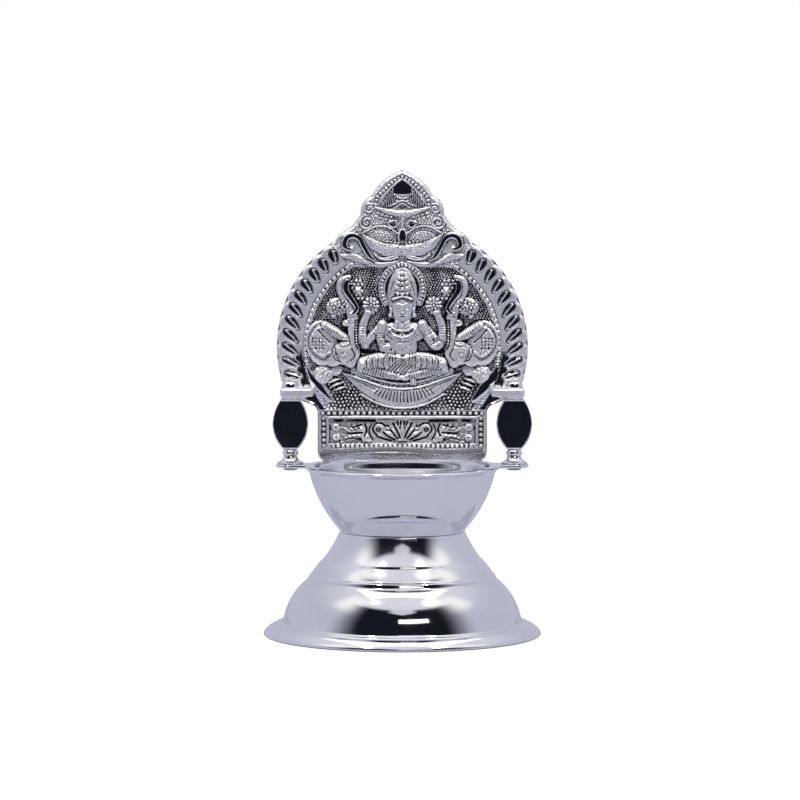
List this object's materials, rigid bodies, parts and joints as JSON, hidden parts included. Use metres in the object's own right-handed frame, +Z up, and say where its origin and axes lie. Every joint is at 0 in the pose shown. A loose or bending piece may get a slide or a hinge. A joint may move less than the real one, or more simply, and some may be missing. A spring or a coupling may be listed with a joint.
{
  "type": "oil lamp",
  "caption": "Small free-standing silver shrine oil lamp: spun pedestal and bowl, with a struck relief back plate on barrel pillars behind the flame.",
  "frame": {"origin": "middle of the foot's hem, on the table", "axes": "+Z up, the struck plate's face looks to -Y, +X to the right as seen from the front"},
  "size_m": [0.06, 0.06, 0.1],
  "materials": {
    "polished_silver": "silver-plated brass, mirror polished with fine handling marks",
    "struck_silver": "silver-plated brass, struck relief, bright tops and dark recesses",
    "back_silver": "silver-plated brass sheet, satin",
    "steel": "plain turned steel"
  },
  "bodies": {
    "root": {"pedestal": "polished_silver", "oil_bowl": "polished_silver", "bowl_stud": "steel", "clamp_washer": "steel", "clamp_nut": "steel", "front_plate": "struck_silver", "back_sheet": "back_silver", "left_pillar_foot": "polished_silver", "left_pillar_bead": "polished_silver", "left_pillar_barrel": "polished_silver", "left_pillar_cap": "polished_silver", "left_tie_rod": "steel", "left_rod_nut": "steel", "left_dome_nut": "polished_silver", "right_pillar_foot": "polished_silver", "right_pillar_bead": "polished_silver", "right_pillar_barrel": "polished_silver", "right_pillar_cap": "polished_silver", "right_tie_rod": "steel", "right_rod_nut": "steel", "right_dome_nut": "polished_silver"}
  },
  "joints": []
}
